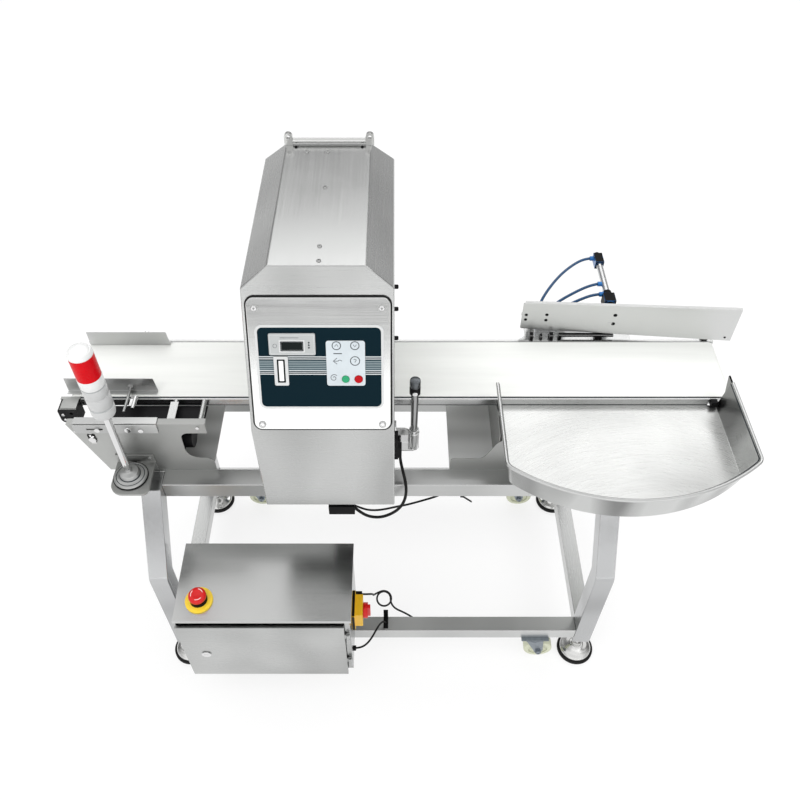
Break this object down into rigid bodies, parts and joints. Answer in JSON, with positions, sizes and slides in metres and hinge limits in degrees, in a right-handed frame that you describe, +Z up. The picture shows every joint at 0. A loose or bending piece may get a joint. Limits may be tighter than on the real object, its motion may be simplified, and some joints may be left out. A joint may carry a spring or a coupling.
{
  "type": "conveyor metal detector",
  "caption": "Conveyor metal detector on a tubular stainless frame: tunnel head with sloping control panel, flat belt, swing-arm rejecter, collecting tray, electrical box and signal lamp.",
  "frame": {"origin": "middle of the machine's footprint box, on the floor under the levelling feet", "axes": "+X along the belt towards the rejecter and collecting tray, +Y away from the operator, +Z up"},
  "size_m": [1.5492, 0.8392, 1.215],
  "materials": {
    "satin_stainless": "brushed",
    "bright_stainless": "polished",
    "zinc_steel": "zinc plated",
    "lamp_white": "gloss",
    "lamp_red": "translucent gloss",
    "belt_white": "smooth belt",
    "black_plastic": "moulded",
    "motor_grey": "satin paint",
    "liner_white": "machined",
    "black_rubber": "matt",
    "membrane_dark": "fine texture",
    "keypad_grey": "fine texture",
    "signal_yellow": "moulded",
    "signal_red": "moulded",
    "key_green": "moulded",
    "cylinder_aluminium": "anodised",
    "cable_black": "matt",
    "tube_blue": "smooth",
    "sensor_grey": "satin",
    "wheel_cream": "moulded"
  },
  "bodies": {
    "chassis": {"legs": "satin_stainless", "frame_rails": "satin_stainless", "castor_plates": "zinc_steel", "lamp_post": "bright_stainless", "lamp_housing": "lamp_white", "lamp_lens": "lamp_red", "conveyor_belt": "belt_white", "conveyor_frame": "satin_stainless", "roller_bearings": "black_plastic", "drive_motor": "motor_grey", "mounting_brackets": "satin_stainless", "guide_clamps": "bright_stainless", "head_shell": "satin_stainless", "tunnel_liner": "liner_white", "panel_gasket": "black_rubber", "control_panel": "satin_stainless", "membrane": "membrane_dark", "panel_inserts": "keypad_grey", "head_fasteners": "bright_stainless", "ebox_body": "satin_stainless", "estop_base": "signal_yellow", "isolator_base": "signal_yellow", "collecting_tray": "satin_stainless", "sensor_post": "bright_stainless", "reject_bracket": "bright_stainless", "cylinder_barrel": "cylinder_aluminium", "air_fittings": "cylinder_aluminium", "head_cable": "cable_black", "rail_cable": "cable_black", "ebox_cable": "cable_black", "ebox_lead": "cable_black", "air_tube_a": "tube_blue", "air_tube_b": "tube_blue", "air_tube_c": "tube_blue", "cable_fittings": "black_plastic"},
    "drive_roller_body": {"drive_roller": "satin_stainless"},
    "idle_roller_body": {"idle_roller": "satin_stainless"},
    "near_guide_body": {"guide_near": "satin_stainless"},
    "far_guide_body": {"guide_far": "satin_stainless"},
    "swing_arm": {"reject_arm": "satin_stainless"},
    "rod": {"cylinder_rod": "bright_stainless"},
    "door": {"ebox_door": "satin_stainless"},
    "lock": {"door_lock": "bright_stainless"},
    "stop_button": {"estop_button": "signal_red"},
    "knob": {"isolator_knob": "signal_red"},
    "sensor": {"sensor_head": "sensor_grey"},
    "start_key_body": {"start_key": "key_green"},
    "stop_key_body": {"stop_key": "signal_red"},
    "foot_fl": {"levelling_foot_fl": "bright_stainless"},
    "fork_fl": {"castor_fork_fl": "zinc_steel"},
    "wheel_fl": {"castor_wheel_fl": "wheel_cream"},
    "foot_fr": {"levelling_foot_fr": "bright_stainless"},
    "fork_fr": {"castor_fork_fr": "zinc_steel"},
    "wheel_fr": {"castor_wheel_fr": "wheel_cream"},
    "foot_rl": {"levelling_foot_rl": "bright_stainless"},
    "fork_rl": {"castor_fork_rl": "zinc_steel"},
    "wheel_rl": {"castor_wheel_rl": "wheel_cream"},
    "foot_rr": {"levelling_foot_rr": "bright_stainless"},
    "fork_rr": {"castor_fork_rr": "zinc_steel"},
    "wheel_rr": {"castor_wheel_rr": "wheel_cream"}
  },
  "joints": [
    {"name": "foot_screw_fl", "type": "slide", "parent": "chassis", "child": "foot_fl", "axis": [0, 0, 1], "range_m": [-0.015, 0.012]},
    {"name": "castor_swivel_fl", "type": "hinge", "parent": "chassis", "child": "fork_fl", "pos_m": [-0.45465, -0.2954, 0.097], "axis": [0, 0, 1], "continuous": true},
    {"name": "castor_axle_fl", "type": "hinge", "parent": "fork_fl", "child": "wheel_fl", "pos_m": [-0.43865, -0.2954, 0.0384], "axis": [0, 1, 0], "continuous": true},
    {"name": "foot_screw_fr", "type": "slide", "parent": "chassis", "child": "foot_fr", "axis": [0, 0, 1], "range_m": [-0.015, 0.012]},
    {"name": "castor_swivel_fr", "type": "hinge", "parent": "chassis", "child": "fork_fr", "pos_m": [0.34535, -0.2954, 0.097], "axis": [0, 0, 1], "continuous": true},
    {"name": "castor_axle_fr", "type": "hinge", "parent": "fork_fr", "child": "wheel_fr", "pos_m": [0.36135, -0.2954, 0.0384], "axis": [0, 1, 0], "continuous": true},
    {"name": "foot_screw_rl", "type": "slide", "parent": "chassis", "child": "foot_rl", "axis": [0, 0, 1], "range_m": [-0.015, 0.012]},
    {"name": "castor_swivel_rl", "type": "hinge", "parent": "chassis", "child": "fork_rl", "pos_m": [-0.45465, 0.1986, 0.097], "axis": [0, 0, 1], "continuous": true},
    {"name": "castor_axle_rl", "type": "hinge", "parent": "fork_rl", "child": "wheel_rl", "pos_m": [-0.43865, 0.1986, 0.0384], "axis": [0, 1, 0], "continuous": true},
    {"name": "foot_screw_rr", "type": "slide", "parent": "chassis", "child": "foot_rr", "axis": [0, 0, 1], "range_m": [-0.015, 0.012]},
    {"name": "castor_swivel_rr", "type": "hinge", "parent": "chassis", "child": "fork_rr", "pos_m": [0.34535, 0.1986, 0.097], "axis": [0, 0, 1], "continuous": true},
    {"name": "castor_axle_rr", "type": "hinge", "parent": "fork_rr", "child": "wheel_rr", "pos_m": [0.36135, 0.1986, 0.0384], "axis": [0, 1, 0], "continuous": true},
    {"name": "drive_roller_spin", "type": "hinge", "parent": "chassis", "child": "drive_roller_body", "pos_m": [-0.74585, 0.0521, 0.7432], "axis": [0, 1, 0], "continuous": true},
    {"name": "idle_roller_spin", "type": "hinge", "parent": "chassis", "child": "idle_roller_body", "pos_m": [0.72855, 0.0521, 0.7432], "axis": [0, 1, 0], "continuous": true},
    {"name": "near_guide_slide", "type": "slide", "parent": "chassis", "child": "near_guide_body", "axis": [0, 1, 0], "range_m": [-0.006, 0.03]},
    {"name": "far_guide_slide", "type": "slide", "parent": "chassis", "child": "far_guide_body", "axis": [0, 1, 0], "range_m": [-0.01, 0]},
    {"name": "swing_arm_pivot", "type": "hinge", "parent": "chassis", "child": "swing_arm", "pos_m": [0.30735, 0.1916, 0.795], "axis": [0, 0, 1], "range_deg": [-16, 4]},
    {"name": "rod_slide", "type": "slide", "parent": "chassis", "child": "rod", "axis": [0, 1, 0], "range_m": [-0.056, 0.0145]},
    {"name": "door_hinge", "type": "hinge", "parent": "chassis", "child": "door", "pos_m": [-0.13365, -0.4126, 0.258], "axis": [0, 0, 1], "range_deg": [0, 110]},
    {"name": "door_lock_turn", "type": "hinge", "parent": "door", "child": "lock", "pos_m": [-0.47765, -0.4144, 0.251], "axis": [0, 1, 0], "range_deg": [0, 90]},
    {"name": "stop_button_press", "type": "slide", "parent": "chassis", "child": "stop_button", "axis": [0, -0.037, 0.9993], "range_m": [-0.0035, 0]},
    {"name": "isolator_turn", "type": "hinge", "parent": "chassis", "child": "knob", "pos_m": [-0.10965, -0.3274, 0.3], "axis": [1, 0, 0], "range_deg": [0, 90]},
    {"name": "sensor_turn", "type": "hinge", "parent": "chassis", "child": "sensor", "pos_m": [0.01935, -0.0844, 0.67], "axis": [0, 0, 1], "range_deg": [-90, 90]},
    {"name": "start_key_press", "type": "slide", "parent": "chassis", "child": "start_key_body", "axis": [0, -0.9128, 0.4084], "range_m": [-0.0005, 0], "stiffness_N_per_m": 800},
    {"name": "stop_key_press", "type": "slide", "parent": "chassis", "child": "stop_key_body", "axis": [0, -0.9128, 0.4084], "range_m": [-0.0005, 0], "stiffness_N_per_m": 800}
  ],
  "couplings": [
    {"joint": "idle_roller_spin", "follows": "drive_roller_spin", "ratio": 1},
    {"joint": "rod_slide", "follows": "swing_arm_pivot", "m_per_rad": 0.1985}
  ]
}
